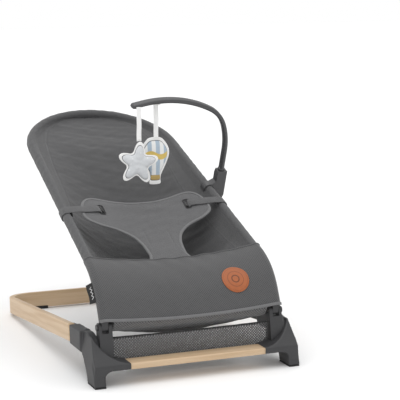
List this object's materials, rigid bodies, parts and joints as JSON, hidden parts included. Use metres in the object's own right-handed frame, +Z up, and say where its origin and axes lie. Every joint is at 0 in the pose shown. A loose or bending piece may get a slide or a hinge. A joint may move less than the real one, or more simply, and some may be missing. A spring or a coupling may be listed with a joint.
{
  "type": "baby bouncer seat",
  "caption": "Fold-flat baby bouncer: bent-plywood base on plastic legs, fabric sling seat on a hinged tube frame, waist harness and a swivelling toy bar.",
  "frame": {"origin": "on the floor, at the centre of the footprint of the whole seat without the hanging toys", "axes": "+Z up; the front of the seat, with its feet, faces -Y and the backrest rises towards +Y; +X is to the right as seen from the front"},
  "size_m": [0.454, 0.7679, 0.5461],
  "materials": {
    "plywood": "clear matt lacquer on plywood",
    "frame_plastic": "fine textured moulding",
    "foot_rubber": "matt",
    "steel": "zinc plated",
    "button_plastic": "satin",
    "mesh_fabric": "open warp-knit mesh",
    "tube_paint": "powder coat",
    "seat_fabric": "woven polyester",
    "harness_fabric": "padded knit with bound edges",
    "patch_leather": "smooth with embossed rings",
    "label_fabric": "woven label",
    "bar_plastic": "satin moulding",
    "ribbon_white": "woven ribbon",
    "star_plush": "printed plush with white border",
    "balloon_plush": "printed plush"
  },
  "bodies": {
    "base": {"rear_bow": "plywood", "front_crossbar": "plywood", "left_leg": "frame_plastic", "right_leg": "frame_plastic", "left_foot_pad": "foot_rubber", "right_foot_pad": "foot_rubber", "rear_pads": "foot_rubber", "left_post": "frame_plastic", "right_post": "frame_plastic", "left_hinge_pin": "steel", "right_hinge_pin": "steel", "bow_screws": "steel", "crossbar_screws": "steel", "front_mesh_panel": "mesh_fabric"},
    "seat": {"seat_tube": "tube_paint", "cross_tube": "tube_paint", "left_knuckle": "frame_plastic", "right_knuckle": "frame_plastic", "frame_sleeve": "seat_fabric", "seat_sling": "seat_fabric", "apron": "seat_fabric", "under_mesh": "mesh_fabric", "harness": "harness_fabric", "left_strap": "harness_fabric", "right_strap": "harness_fabric", "leather_patch": "patch_leather", "side_label": "label_fabric", "toy_bar_clip": "bar_plastic"},
    "left_button": {"left_release_button": "button_plastic"},
    "right_button": {"right_release_button": "button_plastic"},
    "toy_arm": {"toy_bar": "bar_plastic"},
    "hanging_star": {"star_ribbon": "ribbon_white", "star_toy": "star_plush"},
    "hanging_balloon": {"balloon_ribbon": "ribbon_white", "balloon_toy": "balloon_plush"}
  },
  "joints": [
    {"name": "seat_recline", "type": "hinge", "parent": "base", "child": "seat", "pos_m": [0, -0.332, 0.113], "axis": [1, 0, 0], "range_deg": [-32, 10]},
    {"name": "left_release", "type": "slide", "parent": "base", "child": "left_button", "axis": [1, 0, 0], "range_m": [0, 0.0024], "stiffness_N_per_m": 300, "springref_m": -0.001},
    {"name": "right_release", "type": "slide", "parent": "base", "child": "right_button", "axis": [-1, 0, 0], "range_m": [0, 0.0024], "stiffness_N_per_m": 300, "springref_m": -0.001},
    {"name": "toy_bar_swivel", "type": "hinge", "parent": "seat", "child": "toy_arm", "pos_m": [0.207, -0.00568, 0.36679], "axis": [0, -0.36, 0.933], "range_deg": [-90, 90]},
    {"name": "star_swing", "type": "hinge", "parent": "toy_arm", "child": "hanging_star", "pos_m": [-0.019, -0.06891, 0.53064], "axis": [1, 0, 0], "range_deg": [-40, 0]},
    {"name": "balloon_swing", "type": "hinge", "parent": "toy_arm", "child": "hanging_balloon", "pos_m": [0.027, -0.07194, 0.53851], "axis": [1, 0, 0], "range_deg": [0, 40]}
  ]
}
